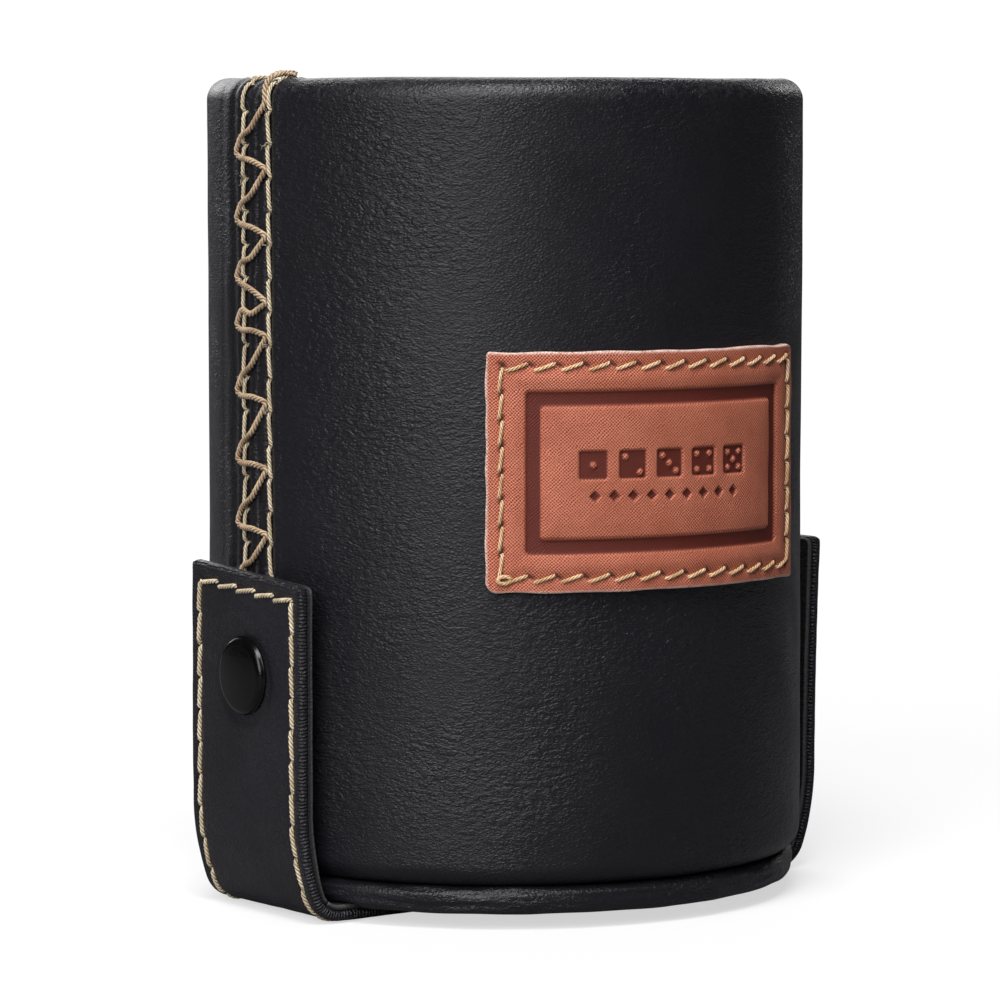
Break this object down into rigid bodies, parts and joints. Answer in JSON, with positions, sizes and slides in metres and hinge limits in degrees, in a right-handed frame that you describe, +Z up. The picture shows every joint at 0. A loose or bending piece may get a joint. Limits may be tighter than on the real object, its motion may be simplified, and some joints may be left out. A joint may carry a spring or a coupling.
{
  "type": "leather dice cup",
  "caption": "Upright leather-covered throwing cup with a stitched label, a laced seam, and a base cap on a snap-fastened strap that closes a dice compartment.",
  "frame": {"origin": "on the table, where the cup's axis meets the underside of the strap", "axes": "+Z up along the cup's axis, towards the open rim; -Y towards the label; the strap and its two tabs run along X, with the laced seam at -X"},
  "size_m": [0.0952, 0.0877, 0.117],
  "materials": {
    "black_leather": "fine-grained, satin, dyed black",
    "tan_leather": "vegetable-tanned, pressed, satin, raw edges",
    "lining_suede": "short-napped suede, matte",
    "strap_backing": "flesh side, matte",
    "tube_board": "pressed fibreboard, raw",
    "waxed_thread": "twisted and waxed, straw-coloured",
    "seam_cord": "twisted and waxed, honey-coloured",
    "snap_black": "satin black lacquer",
    "snap_metal": "nickel plated"
  },
  "bodies": {
    "base": {"base_board": "tube_board", "base_cover": "black_leather", "base_pad": "lining_suede", "strap_leather": "black_leather", "strap_lining": "strap_backing", "strap_thread": "waxed_thread"},
    "cup": {"core_tube": "tube_board", "outer_cover": "black_leather", "mouth_lining": "lining_suede", "partition_board": "tube_board", "floor_lining": "lining_suede", "ceiling_lining": "lining_suede", "compartment_lining": "lining_suede", "seam_thread_front": "waxed_thread", "seam_thread_back": "waxed_thread", "seam_lace": "seam_cord", "label_patch": "tan_leather", "label_thread": "waxed_thread", "snap_studs": "snap_metal", "snap_posts": "snap_metal"},
    "fold_left": {"fold_leather_left": "black_leather", "fold_lining_left": "strap_backing"},
    "fold_right": {"fold_leather_right": "black_leather", "fold_lining_right": "strap_backing"},
    "tab_left": {"tab_leather_left": "black_leather", "tab_lining_left": "strap_backing", "tab_thread_left": "waxed_thread", "snap_cap_left": "snap_black", "snap_socket_left": "snap_metal", "snap_spring_left": "snap_metal"},
    "tab_right": {"tab_leather_right": "black_leather", "tab_lining_right": "strap_backing", "tab_thread_right": "waxed_thread", "snap_cap_right": "snap_black", "snap_socket_right": "snap_metal", "snap_spring_right": "snap_metal"}
  },
  "joints": [
    {"name": "cup_lift", "type": "slide", "parent": "base", "child": "cup", "axis": [0, 0, 1], "range_m": [0, 0.025]},
    {"name": "lower_crease_left", "type": "hinge", "parent": "base", "child": "fold_left", "pos_m": [-0.04291, -0.0015, 0.0003], "axis": [0, -1, 0], "range_deg": [0, 30]},
    {"name": "upper_crease_left", "type": "hinge", "parent": "fold_left", "child": "tab_left", "pos_m": [-0.0459, -0.0015, 0.00329], "axis": [0, -1, 0], "range_deg": [0, 60]},
    {"name": "lower_crease_right", "type": "hinge", "parent": "base", "child": "fold_right", "pos_m": [0.04291, -0.0015, 0.0003], "axis": [0, 1, 0], "range_deg": [0, 30]},
    {"name": "upper_crease_right", "type": "hinge", "parent": "fold_right", "child": "tab_right", "pos_m": [0.0459, -0.0015, 0.00329], "axis": [0, 1, 0], "range_deg": [0, 60]}
  ],
  "couplings": [
    {"joint": "lower_crease_left", "follows": "cup_lift", "rad_per_m": 20.94},
    {"joint": "lower_crease_right", "follows": "cup_lift", "rad_per_m": 20.94}
  ]
}
